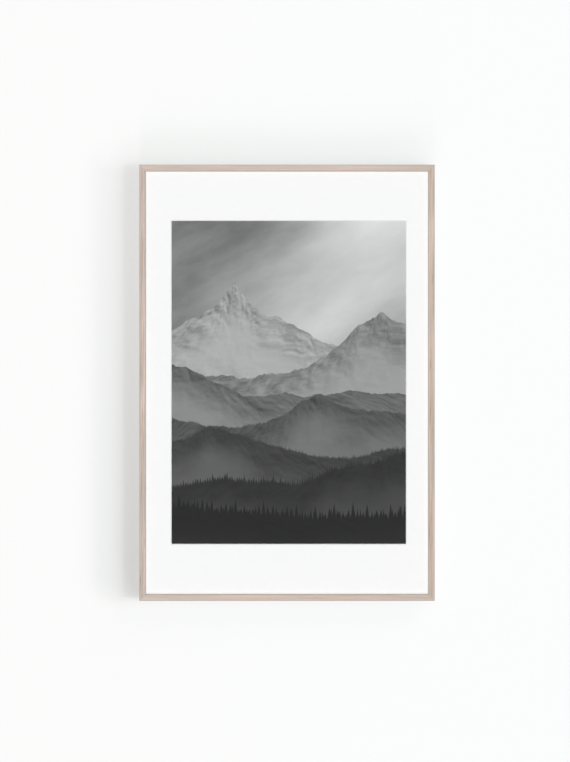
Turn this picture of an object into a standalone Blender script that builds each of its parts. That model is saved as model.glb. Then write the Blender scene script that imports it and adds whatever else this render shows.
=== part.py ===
"""A framed print: a mitred wooden frame with glazing, window mount, print, boards and hangers.

Metres, +Z up. The picture faces -Y and hangs against a wall whose face is the plane Y = 0.
The origin is on the wall, midway between the two hooks that carry the rings of the hangers.
"""

import math

import bmesh
import bpy
from mathutils import Matrix, Vector

OBJECT_NAME = "framed_print"
MM = 0.001

# Clearance that neighbouring pieces keep
FIT_GAP = 0.3 * MM
MITRE_GAP = 0.1 * MM

# Frame: outer size, and the section of its moulding
FRAME_WIDTH = 630 * MM
FRAME_HEIGHT = 930 * MM
FRAME_DEPTH = 20 * MM
FACE_WIDTH = 14 * MM
LEG_WIDTH = 10 * MM
FACE_EDGE_RADIUS = 1.2 * MM
BACK_EDGE_RADIUS = 0.6 * MM
EDGE_STEPS = 4

# Layers in the rebate, from the front
PANEL_SIDE_GAP = 0.5 * MM
GLAZING_THICKNESS = 2 * MM
MOUNT_THICKNESS = 1.5 * MM
PRINT_THICKNESS = 0.3 * MM
CORE_THICKNESS = 5 * MM
BACKING_THICKNESS = 3 * MM

# Window in the mount, at its inner edge, with its sides cut at 45 degrees
WINDOW_WIDTH = 500.5 * MM
WINDOW_HEIGHT = 690 * MM
WINDOW_RIGHT = 3.8 * MM
WINDOW_UP = 0.8 * MM
PRINT_WIDTH = 520 * MM
PRINT_HEIGHT = 710 * MM

# Place on the wall
WALL_GAP = 4.5 * MM
TOP_ABOVE_HOOKS = 100 * MM

# Pads that keep the frame off the wall
PAD_RADIUS = 4.5 * MM
PAD_EDGE_RADIUS = 1 * MM
PAD_FROM_END = 22 * MM

# Turn buttons that hold the boards in
BUTTON_THICKNESS = 1.2 * MM
BUTTON_PIVOT_RADIUS = 4.4 * MM
BUTTON_TIP_RADIUS = 3.2 * MM
BUTTON_REACH = 17 * MM
BUTTON_HOLE_RADIUS = 1.7 * MM
SIDE_BUTTONS = (-280 * MM, 0, 280 * MM)
END_BUTTONS = (-150 * MM, 150 * MM)

# Screws, from the underside of the head
SHANK_RADIUS = 1.2 * MM
SHANK_LENGTH = 10 * MM
POINT_LENGTH = 3 * MM
HEAD_RADIUS = 3 * MM
HEAD_HEIGHT = 1.6 * MM
HEAD_RIM = 0.5 * MM
PILOT_RADIUS = 1.5 * MM
PILOT_SPARE_DEPTH = 1 * MM

# Hangers: a steel strap folded round the bar of a D-shaped ring
RING_WIRE_RADIUS = 0.9 * MM
RING_HALF_WIDTH = 5 * MM
RING_LEG = 5 * MM
RING_CORNER_RADIUS = 1.4 * MM
STRAP_WIDTH = 7 * MM
STRAP_THICKNESS = 1.4 * MM
STRAP_EYE_RADIUS = 1.2 * MM
STRAP_EYE_WALL = 0.7 * MM
STRAP_LENGTH = 20 * MM
STRAP_SCREW_DROP = 15 * MM
RING_FROM_EDGE = 0.3 * MM

# Segments of round shapes
TURNED_STEPS = 20
HOLE_STEPS = 20
RING_ARC_STEPS = 14
CORNER_STEPS = 3
SHARP_ANGLE = math.radians(40)

# Worked out from the sizes above
REBATE_DEPTH = (
    GLAZING_THICKNESS + MOUNT_THICKNESS + PRINT_THICKNESS + CORE_THICKNESS + BACKING_THICKNESS + 5 * FIT_GAP
)
LIP_THICKNESS = FRAME_DEPTH - REBATE_DEPTH
BACK_Y = -WALL_GAP
FRONT_Y = BACK_Y - FRAME_DEPTH
LIP_BACK_Y = FRONT_Y + LIP_THICKNESS
CENTRE = Vector((0, 0, TOP_ABOVE_HOOKS - FRAME_HEIGHT / 2))
PANEL_WIDTH = FRAME_WIDTH - 2 * (LEG_WIDTH + PANEL_SIDE_GAP)
PANEL_HEIGHT = FRAME_HEIGHT - 2 * (LEG_WIDTH + PANEL_SIDE_GAP)
LEG_MIDDLE = LEG_WIDTH / 2

# The ring stands up and leans on the frame's back
EYE_OUTER_RADIUS = STRAP_EYE_RADIUS + STRAP_EYE_WALL
RING_REACH = RING_LEG + RING_HALF_WIDTH
RING_AXIS_Y = BACK_Y + FIT_GAP + EYE_OUTER_RADIUS
RING_LEAN = math.asin((EYE_OUTER_RADIUS - RING_WIRE_RADIUS) / RING_REACH)
RING_AXIS_Z = -(RING_REACH - RING_WIRE_RADIUS) * math.cos(RING_LEAN)
RING_AXIS_X = FRAME_WIDTH / 2 - RING_FROM_EDGE - RING_WIRE_RADIUS - RING_HALF_WIDTH

# The four sides, clockwise from the left as seen from the front, by quarter turns about +Y
SIDES = {"left": 0, "top": 1, "right": 2, "bottom": 3}


def clear_scene():
    for old in list(bpy.data.objects):
        bpy.data.objects.remove(old, do_unlink=True)


def new_collection(name):
    collection = bpy.data.collections.new(name)
    bpy.context.scene.collection.children.link(collection)
    return collection


def new_material(name, colour, roughness, metallic=0.0, alpha=1.0):
    material = bpy.data.materials.new(name)
    material.use_nodes = True
    shader = material.node_tree.nodes["Principled BSDF"]
    shader.inputs["Base Color"].default_value = (*colour, 1)
    shader.inputs["Roughness"].default_value = roughness
    shader.inputs["Metallic"].default_value = metallic
    shader.inputs["Alpha"].default_value = alpha
    return material


def add_object(name, data, collection, material=None):
    piece = bpy.data.objects.new(name, data)
    collection.objects.link(piece)
    if material:
        data.materials.append(material)
    return piece


def add_cutter(name, mesh):
    cutter = add_object(name, mesh, cutters)
    cutter.hide_render = True
    cutter.display_type = "WIRE"
    return cutter


def cut_with(piece, cutter, operation="DIFFERENCE"):
    cut = piece.modifiers.new("Cut", "BOOLEAN")
    cut.operation = operation
    cut.solver = "EXACT"
    cut.object = cutter


def keep_cuts(piece):
    """Makes the cut shape the piece's own mesh, with its round faces smooth and its edges sharp."""
    bpy.context.view_layer.update()
    evaluated = piece.evaluated_get(bpy.context.evaluated_depsgraph_get())
    mesh = bpy.data.meshes.new_from_object(evaluated)
    piece.modifiers.clear()
    piece.data = mesh
    mesh.shade_smooth()
    mesh.set_sharp_from_angle(angle=SHARP_ANGLE)


def to_mesh_object(curve_piece, collection, material=None):
    """The curve's object made a mesh, with its caps welded, in the same place."""
    name = curve_piece.name
    bpy.context.view_layer.update()
    evaluated = curve_piece.evaluated_get(bpy.context.evaluated_depsgraph_get())
    mesh = bpy.data.meshes.new_from_object(evaluated)
    place = curve_piece.matrix_world.copy()
    bpy.data.objects.remove(curve_piece, do_unlink=True)
    shape = bmesh.new()
    shape.from_mesh(mesh)
    bmesh.ops.remove_doubles(shape, verts=shape.verts, dist=0.001 * MM)
    bmesh.ops.recalc_face_normals(shape, faces=shape.faces)
    shape.to_mesh(mesh)
    shape.free()
    mesh.materials.clear()
    piece = add_object(name, mesh, collection, material)
    piece.matrix_world = place
    return piece


def arc(centre, radius, start_deg, end_deg, steps):
    """Points on an arc in a plane, both ends included."""
    points = []
    for i in range(steps + 1):
        angle = math.radians(start_deg + (end_deg - start_deg) * i / steps)
        points.append((centre[0] + radius * math.cos(angle), centre[1] + radius * math.sin(angle)))
    return points


def flat_outline(name, outlines, thickness, collection, material=None):
    """A flat curve of closed outlines, the inner ones holes, as thick as asked about its own plane."""
    curve = bpy.data.curves.new(name, "CURVE")
    curve.dimensions = "2D"
    curve.fill_mode = "BOTH"
    curve.extrude = thickness / 2
    for points in outlines:
        spline = curve.splines.new("POLY")
        spline.points.add(len(points) - 1)
        for point, (x, y) in zip(spline.points, points, strict=True):
            point.co = (x, y, 0, 1)
        spline.use_cyclic_u = True
    return add_object(name, curve, collection, material)


def turned_piece(name, profile, collection, material):
    """A profile of (radius, height) points, from its top to its foot, turned about local Z."""
    mesh = bpy.data.meshes.new(name)
    shape = bmesh.new()
    verts = [shape.verts.new((radius, 0, height)) for radius, height in profile]
    for upper, lower in zip(verts, verts[1:], strict=False):
        shape.edges.new((upper, lower))
    shape.to_mesh(mesh)
    shape.free()
    piece = add_object(name, mesh, collection, material)
    turn = piece.modifiers.new("Turn", "SCREW")
    turn.steps = TURNED_STEPS
    turn.render_steps = TURNED_STEPS
    turn.use_merge_vertices = True
    turn.merge_threshold = 0.01 * MM
    turn.use_smooth_shade = True
    return piece


def box_mesh(name, low, high):
    mesh = bpy.data.meshes.new(name)
    shape = bmesh.new()
    size = Vector(high) - Vector(low)
    bmesh.ops.create_cube(shape, size=1)
    bmesh.ops.scale(shape, vec=size, verts=shape.verts)
    bmesh.ops.translate(shape, vec=Vector(low) + size / 2, verts=shape.verts)
    shape.to_mesh(mesh)
    shape.free()
    return mesh


def half_extent(side):
    """How far the outer edge of a side lies from the frame's centre."""
    return (FRAME_HEIGHT if SIDES[side] % 2 else FRAME_WIDTH) / 2


def on_side(side, inset, y, along):
    """A point on a side: inset from its outer edge, and along it clockwise from its middle."""
    turn = Matrix.Rotation(math.radians(90) * SIDES[side], 3, "Y")
    return CENTRE + turn @ Vector((inset - half_extent(side), y, along))


def facing_back(piece, place):
    """Puts a turned piece at a place, with its local Z pointing at the wall."""
    piece.location = place
    piece.rotation_euler = (math.radians(-90), 0, 0)


def moulding_outline():
    """The rail's section: x from its outer edge inwards, y from its face to its back."""
    front = FACE_EDGE_RADIUS
    back = BACK_EDGE_RADIUS
    return [
        *arc((front, front), front, 180, 270, EDGE_STEPS),
        *arc((FACE_WIDTH - front, front), front, 270, 360, EDGE_STEPS),
        (FACE_WIDTH, LIP_THICKNESS),
        (LEG_WIDTH, LIP_THICKNESS),
        (LEG_WIDTH, FRAME_DEPTH),
        *arc((back, FRAME_DEPTH - back), back, 90, 180, EDGE_STEPS // 2),
    ]


def mitre(mesh, end):
    """Cuts a rail's end at 45 degrees, half the mitre's gap short of the corner. end is 1 or -1."""
    shape = bmesh.new()
    shape.from_mesh(mesh)
    bisected = bmesh.ops.bisect_plane(
        shape,
        geom=[*shape.verts, *shape.edges, *shape.faces],
        dist=0.001 * MM,
        plane_co=(-MITRE_GAP / math.sqrt(2), 0, end * mesh["half_length"]),
        plane_no=Vector((1, 0, end)).normalized(),
        clear_outer=True,
    )
    cut_edges = [item for item in bisected["geom_cut"] if isinstance(item, bmesh.types.BMEdge)]
    bmesh.ops.contextual_create(shape, geom=cut_edges)
    bmesh.ops.recalc_face_normals(shape, faces=shape.faces)
    shape.to_mesh(mesh)
    shape.free()


def make_rail(side, pilots):
    length = FRAME_WIDTH if SIDES[side] % 2 else FRAME_HEIGHT
    oak = new_material("oak_" + side, (0.58, 0.46, 0.38), 0.55)
    outline = flat_outline("rail_" + side, [moulding_outline()], length, parts)
    rail = to_mesh_object(outline, parts, oak)
    rail.data["half_length"] = length / 2
    mitre(rail.data, 1)
    mitre(rail.data, -1)
    rail.location = on_side(side, 0, FRONT_Y, 0)
    rail.rotation_euler = (0, math.radians(90) * SIDES[side], 0)
    cut_with(rail, pilots)
    keep_cuts(rail)


def make_panel(name, width, height, front_y, thickness, material):
    """A flat sheet centred in the frame, with its front face at front_y."""
    low = (-width / 2, front_y, CENTRE.z - height / 2)
    high = (width / 2, front_y + thickness, CENTRE.z + height / 2)
    return add_object(name, box_mesh(name, low, high), parts, material)


def make_window_cutter(front_y):
    """A block whose sides lean out at 45 degrees towards the front."""
    over = 1 * MM
    low = (
        WINDOW_RIGHT - WINDOW_WIDTH / 2 + over,
        front_y - over,
        CENTRE.z + WINDOW_UP - WINDOW_HEIGHT / 2 + over,
    )
    high = (
        WINDOW_RIGHT + WINDOW_WIDTH / 2 - over,
        front_y + MOUNT_THICKNESS + over,
        CENTRE.z + WINDOW_UP + WINDOW_HEIGHT / 2 - over,
    )
    mesh = box_mesh("window_cutter", low, high)
    flare = MOUNT_THICKNESS + 2 * over
    for vert in mesh.vertices:
        if vert.co.y < front_y:
            vert.co.x += math.copysign(flare, vert.co.x - WINDOW_RIGHT)
            vert.co.z += math.copysign(flare, vert.co.z - CENTRE.z - WINDOW_UP)
    return add_cutter("window_cutter", mesh)


def make_layers():
    """Glazing, window mount, print, foam core and backing board, each a gap behind the last."""
    y = LIP_BACK_Y + FIT_GAP
    clear = new_material("glazing", (0.95, 0.97, 0.96), 0.03, alpha=0.3)
    make_panel("glazing", PANEL_WIDTH, PANEL_HEIGHT, y, GLAZING_THICKNESS, clear)
    y += GLAZING_THICKNESS + FIT_GAP
    card = new_material("mount_board", (0.93, 0.94, 0.93), 0.9)
    mount = make_panel("window_mount", PANEL_WIDTH, PANEL_HEIGHT, y, MOUNT_THICKNESS, card)
    cut_with(mount, make_window_cutter(y))
    y += MOUNT_THICKNESS + FIT_GAP
    paper = new_material("print_paper", (0.3, 0.3, 0.3), 0.7)
    sheet = make_panel("print_sheet", PRINT_WIDTH, PRINT_HEIGHT, y, PRINT_THICKNESS, paper)
    sheet.location = (WINDOW_RIGHT, 0, WINDOW_UP)
    y += PRINT_THICKNESS + FIT_GAP
    foam = new_material("foam_core", (0.9, 0.9, 0.88), 0.85)
    make_panel("foam_core", PANEL_WIDTH, PANEL_HEIGHT, y, CORE_THICKNESS, foam)
    y += CORE_THICKNESS + FIT_GAP
    fibreboard = new_material("fibreboard", (0.42, 0.29, 0.19), 0.8)
    make_panel("backing_board", PANEL_WIDTH, PANEL_HEIGHT, y, BACKING_THICKNESS, fibreboard)


def screw_profile():
    """A round-headed screw from the top of its head to its point, with the head's underside at 0."""
    dome_radius = (HEAD_RADIUS**2 + (HEAD_HEIGHT - HEAD_RIM) ** 2) / (2 * (HEAD_HEIGHT - HEAD_RIM))
    rim_deg = math.degrees(math.acos(HEAD_RADIUS / dome_radius))
    dome = arc((0, HEAD_HEIGHT - dome_radius), dome_radius, 90, rim_deg, EDGE_STEPS)
    return [
        *dome,
        (HEAD_RADIUS, 0),
        (SHANK_RADIUS, 0),
        (SHANK_RADIUS, POINT_LENGTH - SHANK_LENGTH),
        (0, -SHANK_LENGTH),
    ]


def make_screw(name, place, steel):
    screw = turned_piece(name, screw_profile(), parts, steel)
    facing_back(screw, place)


def button_outline():
    """Two round ends, the pivot's wider than the tip's, joined by straight sides."""
    lean = math.degrees(math.acos((BUTTON_PIVOT_RADIUS - BUTTON_TIP_RADIUS) / BUTTON_REACH))
    return [
        *arc((0, 0), BUTTON_PIVOT_RADIUS, lean, 360 - lean, HOLE_STEPS // 2),
        *arc((BUTTON_REACH, 0), BUTTON_TIP_RADIUS, -lean, lean, HOLE_STEPS // 2),
    ]


def make_turn_button(side, number, along):
    """A flat plate on the frame's back that turns about its screw and reaches over the boards."""
    steel = new_material(f"button_steel_{side}_{number}", (0.62, 0.62, 0.6), 0.4, 1.0)
    hole = arc((0, 0), BUTTON_HOLE_RADIUS, 0, 360 - 360 / HOLE_STEPS, HOLE_STEPS - 1)
    name = f"turn_button_{side}_{number}"
    button = flat_outline(name, [button_outline(), hole], BUTTON_THICKNESS, parts, steel)
    middle_y = BACK_Y + FIT_GAP + BUTTON_THICKNESS / 2
    button.location = on_side(side, LEG_MIDDLE, middle_y, along)
    button.rotation_euler = (math.radians(90), math.radians(90) * SIDES[side], 0)
    head_y = BACK_Y + 2 * FIT_GAP + BUTTON_THICKNESS
    make_screw(f"pivot_screw_{side}_{number}", on_side(side, LEG_MIDDLE, head_y, along), steel)


def button_places():
    """Each turn button's side, number and place along its side, clockwise as seen from the front."""
    for side in SIDES:
        places = END_BUTTONS if SIDES[side] % 2 else SIDE_BUTTONS
        for number, along in enumerate(places, 1):
            yield side, number, along


def strap_outline():
    """The folded strap seen from its side: x away from the frame, y up, the eye's centre at 0."""
    plate_back = STRAP_THICKNESS - EYE_OUTER_RADIUS
    meet_deg = math.degrees(math.acos(plate_back / EYE_OUTER_RADIUS))
    return [
        (-EYE_OUTER_RADIUS, -STRAP_LENGTH),
        (plate_back, -STRAP_LENGTH),
        *arc((0, 0), EYE_OUTER_RADIUS, -meet_deg, 180, TURNED_STEPS),
    ]


def make_strap_blank(side, axis_place):
    """The strap's outline as seen from the wall, with a round foot, thick enough to hold all of it."""
    half = STRAP_WIDTH / 2
    top = 2 * EYE_OUTER_RADIUS
    outline = [(half, top), (-half, top), *arc((0, half - STRAP_LENGTH), half, 180, 360, HOLE_STEPS)]
    blank = flat_outline("strap_blank_" + side, [outline], 4 * EYE_OUTER_RADIUS, cutters)
    blank = to_mesh_object(blank, cutters)
    blank.location = axis_place
    blank.rotation_euler = (math.radians(90), 0, 0)
    blank.hide_render = True
    blank.display_type = "WIRE"
    return blank


def ring_points():
    """The ring's centre line in its own plane: the bar on y = 0, two legs and a half circle."""
    corner = RING_CORNER_RADIUS
    flat = RING_HALF_WIDTH - corner
    return [
        *arc((-flat, corner), corner, 180, 270, CORNER_STEPS),
        *arc((flat, corner), corner, 270, 360, CORNER_STEPS),
        *arc((0, RING_LEG), RING_HALF_WIDTH, 0, 180, RING_ARC_STEPS),
    ]


def make_ring(name, axis_place, steel):
    """A bent wire whose bar lies on its pivot's axis."""
    curve = bpy.data.curves.new(name, "CURVE")
    curve.dimensions = "3D"
    curve.bevel_depth = RING_WIRE_RADIUS
    curve.bevel_resolution = 2
    curve.use_fill_caps = True
    points = ring_points()
    spline = curve.splines.new("POLY")
    spline.points.add(len(points) - 1)
    for point, (x, z) in zip(spline.points, points, strict=True):
        point.co = (x, 0, z, 1)
    spline.use_cyclic_u = True
    ring = add_object(name, curve, parts, steel)
    ring.location = axis_place
    ring.rotation_euler = (RING_LEAN, 0, 0)


def make_hanger(side, pilots):
    """The strap, its screw and the ring that it holds, with the ring up."""
    steel = new_material("hanger_steel_" + side, (0.66, 0.66, 0.64), 0.35, 1.0)
    x = math.copysign(RING_AXIS_X, 1 if side == "right" else -1)
    axis_place = Vector((x, RING_AXIS_Y, RING_AXIS_Z))
    eye = arc((0, 0), STRAP_EYE_RADIUS, 0, 360 - 360 / HOLE_STEPS, HOLE_STEPS - 1)
    outline = flat_outline("hanger_strap_" + side, [strap_outline(), eye], STRAP_WIDTH, parts)
    strap = to_mesh_object(outline, parts, steel)
    strap.location = axis_place
    strap.rotation_euler = (math.radians(90), 0, math.radians(90))
    cut_with(strap, make_strap_blank(side, axis_place), "INTERSECT")
    cut_with(strap, pilots)
    keep_cuts(strap)
    make_ring("hanger_ring_" + side, axis_place, steel)
    make_screw("strap_screw_" + side, strap_screw_place(x), steel)


def strap_screw_place(x):
    return Vector((x, BACK_Y + 2 * FIT_GAP + STRAP_THICKNESS, RING_AXIS_Z - STRAP_SCREW_DROP))


def make_pilots():
    """Every screw's hole, as one cutter that reaches from behind the straps into the rails."""
    depth = SHANK_LENGTH + PILOT_SPARE_DEPTH
    places = [on_side(side, LEG_MIDDLE, 0, along) for side, _, along in button_places()]
    places += [strap_screw_place(x) for x in (-RING_AXIS_X, RING_AXIS_X)]
    shape = bmesh.new()
    for place in places:
        middle = Vector((place.x, BACK_Y + 2 * FIT_GAP + STRAP_THICKNESS - depth / 2, place.z))
        bmesh.ops.create_cone(
            shape,
            cap_ends=True,
            segments=HOLE_STEPS,
            radius1=PILOT_RADIUS,
            radius2=PILOT_RADIUS,
            depth=depth,
            matrix=Matrix.Translation(middle) @ Matrix.Rotation(math.radians(90), 4, "X"),
        )
    mesh = bpy.data.meshes.new("pilots")
    shape.to_mesh(mesh)
    shape.free()
    return add_cutter("pilots", mesh)


def make_pads():
    """Four soft pads on the backs of the upright rails, which meet the wall."""
    height = WALL_GAP - FIT_GAP
    profile = [
        (0, height),
        *arc((PAD_RADIUS - PAD_EDGE_RADIUS, height - PAD_EDGE_RADIUS), PAD_EDGE_RADIUS, 90, 0, EDGE_STEPS),
        (PAD_RADIUS, 0),
        (0, 0),
    ]
    rubber = new_material("pad_rubber", (0.05, 0.05, 0.05), 0.8)
    end = FRAME_HEIGHT / 2 - PAD_FROM_END
    for side, first, second in (("left", "bottom", "top"), ("right", "top", "bottom")):
        for where, along in ((first, -end), (second, end)):
            pad = turned_piece(f"wall_pad_{where}_{side}", profile, parts, rubber)
            facing_back(pad, on_side(side, LEG_MIDDLE, BACK_Y + FIT_GAP, along))


clear_scene()
parts = new_collection(OBJECT_NAME)
cutters = new_collection("cutters")
pilot_cutter = make_pilots()
for rail_side in SIDES:
    make_rail(rail_side, pilot_cutter)
make_layers()
for button_place in button_places():
    make_turn_button(*button_place)
for hanger_side in ("left", "right"):
    make_hanger(hanger_side, pilot_cutter)
make_pads()
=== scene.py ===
"""Looks of the framed wall print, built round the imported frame. Metres, +Z up, the wall's face on y = 0."""
import math

import bmesh
import bpy
from mathutils import Matrix, Vector


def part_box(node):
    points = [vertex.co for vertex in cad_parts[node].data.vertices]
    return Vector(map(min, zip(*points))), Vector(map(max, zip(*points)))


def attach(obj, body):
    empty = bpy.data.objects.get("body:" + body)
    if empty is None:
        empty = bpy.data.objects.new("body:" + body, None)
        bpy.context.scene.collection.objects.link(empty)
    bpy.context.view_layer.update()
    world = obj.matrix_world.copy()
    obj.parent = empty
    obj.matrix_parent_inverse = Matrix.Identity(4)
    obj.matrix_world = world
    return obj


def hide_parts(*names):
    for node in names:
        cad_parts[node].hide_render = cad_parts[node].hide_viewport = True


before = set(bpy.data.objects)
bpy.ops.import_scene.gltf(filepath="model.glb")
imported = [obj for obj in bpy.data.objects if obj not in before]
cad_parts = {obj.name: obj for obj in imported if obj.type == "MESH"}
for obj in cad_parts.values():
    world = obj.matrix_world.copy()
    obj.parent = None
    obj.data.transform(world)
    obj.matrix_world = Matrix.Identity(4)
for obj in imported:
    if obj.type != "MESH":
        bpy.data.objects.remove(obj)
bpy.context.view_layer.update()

MM = 0.001
QUARTER_TURN = math.radians(90)

# The picture is 570 by 762 pixels. How much of the wall one of them covers, and where the lens stands: its
# distance from the frame's face, and how far left of the frame's middle and above it
IMAGE_HEIGHT = 762
METRES_PER_PIXEL = 2.1315 * MM
SENSOR = 36
CAMERA_DISTANCE = 4.5
CAMERA_LEFT = 2.0 * METRES_PER_PIXEL
CAMERA_ABOVE = 1.75 * METRES_PER_PIXEL

# The frame, from the record: outer size, section and the faces' places
FRONT_Y, BACK_Y = (corner.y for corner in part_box("rail_left"))
HALF_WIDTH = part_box("rail_right")[1].x
FOOT_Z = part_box("rail_bottom")[0].z
TOP_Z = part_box("rail_top")[1].z
HALF_HEIGHT = (TOP_Z - FOOT_Z) / 2
CENTRE = Vector((0, 0, (FOOT_Z + TOP_Z) / 2))
FACE_WIDTH = 14 * MM
LEG_WIDTH = 10 * MM
LIP_THICKNESS = 6.7 * MM
FACE_EDGE_RADIUS = 1.2 * MM
BACK_EDGE_RADIUS = 0.6 * MM
INNER_EDGE_RADIUS = 0.2 * MM
MITRE_GAP = 0.1 * MM
FIT_GAP = 0.3 * MM

# Nails across the mitres' backs
NAIL_INSET = 5.4 * MM
NAIL_LEG = 3.1 * MM
NAIL_DEPTH = 6 * MM
NAIL_PROUD = 0.12 * MM
NAIL_THICKNESS = 0.45 * MM

# Turn buttons, their places along each side in millimetres, and screws
BUTTON_THICKNESS = 1.2 * MM
BUTTON_PIVOT_RADIUS = 4.4 * MM
BUTTON_TIP_RADIUS = 3.2 * MM
BUTTON_REACH = 17 * MM
BUTTON_HOLE_RADIUS = 1.7 * MM
BUTTON_EDGE_RADIUS = 0.22 * MM
BUTTONS = {"left": (-280, 0, 280), "top": (-150, 150), "right": (-280, 0, 280), "bottom": (-150, 150)}
SHANK_RADIUS = 1.2 * MM
SHANK_LENGTH = 10 * MM
POINT_LENGTH = 3 * MM
HEAD_RADIUS = 3 * MM
HEAD_HEIGHT = 1.6 * MM
HEAD_RIM = 0.5 * MM
HEAD_CORNER = 0.12 * MM
CROSS_SIZE = (3.6 * MM, 0.62 * MM, 1.8 * MM)
CROSS_MIDDLE = HEAD_HEIGHT - 0.2 * MM
CROSS_TAPER = 0.45
PILOT_RADIUS = 1.5 * MM
PILOT_DEPTH = 9.5 * MM
STRAP_PILOT_DEPTH = 11 * MM
PILOT_OVERRUN = 3 * MM

# Hangers
WIRE_RADIUS = 0.9 * MM
RING_HALF_WIDTH = 5 * MM
RING_LEG = 5 * MM
RING_CORNER_RADIUS = 1.4 * MM
RING_EDGE_GAP = 0.3 * MM
STRAP_WIDTH = 7 * MM
STRAP_LAYER = 0.68 * MM
STRAP_THICKNESS = 1.4 * MM
STRAP_LENGTH = 20 * MM
STRAP_SCREW_DROP = 15 * MM
STRAP_EDGE_RADIUS = 0.12 * MM
EYE_RADIUS = 1.9 * MM
RING_LEAN = math.asin((EYE_RADIUS - WIRE_RADIUS) / (RING_LEG + RING_HALF_WIDTH))
RING_AXIS = Vector(
    (
        HALF_WIDTH - RING_EDGE_GAP - WIRE_RADIUS - RING_HALF_WIDTH,
        BACK_Y + FIT_GAP + EYE_RADIUS,
        -(RING_LEG + RING_HALF_WIDTH - WIRE_RADIUS) * math.cos(RING_LEAN),
    )
)

# Wall pads: the foot's waist, how far up it goes, and the rim's roundness
PAD_WAIST = 0.35 * MM
PAD_WAIST_HEIGHT = 0.8 * MM
PAD_RIM_RADIUS = 1 * MM

# The angle past which an edge stays sharp, the one past which it is a rim, and how near two points are one
SHARP_ANGLE = math.radians(35)
RIM_ANGLE = math.radians(60)
SAME_POINT = 0.001 * MM

# Quarter turns about +Y that carry the left side to each side, clockwise as seen from the front
TURNS = {"left": 0, "top": 1, "right": 2, "bottom": 3}


def side_matrix(side):
    """Carries a rail's own axes to its place: x inwards from its outer edge, y to the wall, z along it."""
    half = HALF_HEIGHT if TURNS[side] % 2 else HALF_WIDTH
    turn = Matrix.Rotation(QUARTER_TURN * TURNS[side], 4, "Y")
    return Matrix.Translation(CENTRE) @ turn @ Matrix.Translation((-half, 0, 0))


def half_length(side):
    """Half a rail's length, over its mitres' points."""
    return HALF_WIDTH if TURNS[side] % 2 else HALF_HEIGHT


# Finishes


class Value:
    """A number that varies over a surface. Arithmetic on it adds the nodes that work it out."""

    def __init__(self, finish, socket):
        self.finish = finish
        self.socket = socket

    def _math(self, operation, *values):
        return self.finish.node("ShaderNodeMath", {"operation": operation}, dict(enumerate(values)))

    def __add__(self, other):
        return self._math("ADD", self, other)

    def __sub__(self, other):
        return self._math("SUBTRACT", self, other)

    def __rsub__(self, other):
        return self._math("SUBTRACT", other, self)

    def __mul__(self, other):
        return self._math("MULTIPLY", self, other)

    def __truediv__(self, other):
        return self._math("DIVIDE", self, other)

    def __pow__(self, other):
        return self._math("POWER", self, other)

    def __abs__(self):
        return self._math("ABSOLUTE", self)

    __radd__ = __add__
    __rmul__ = __mul__

    def fraction(self):
        return self._math("FRACT", self)

    def whole(self):
        return self._math("FLOOR", self)

    def least(self, other):
        return self._math("MINIMUM", self, other)

    def most(self, other):
        return self._math("MAXIMUM", self, other)

    def rise(self, low, high):
        """0 below low, 1 above high and a smooth step between them. low may be the higher of the two."""
        sockets = {"Value": self, "From Min": low, "From Max": high}
        return self.finish.node("ShaderNodeMapRange", {"interpolation_type": "SMOOTHSTEP"}, sockets)


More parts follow.
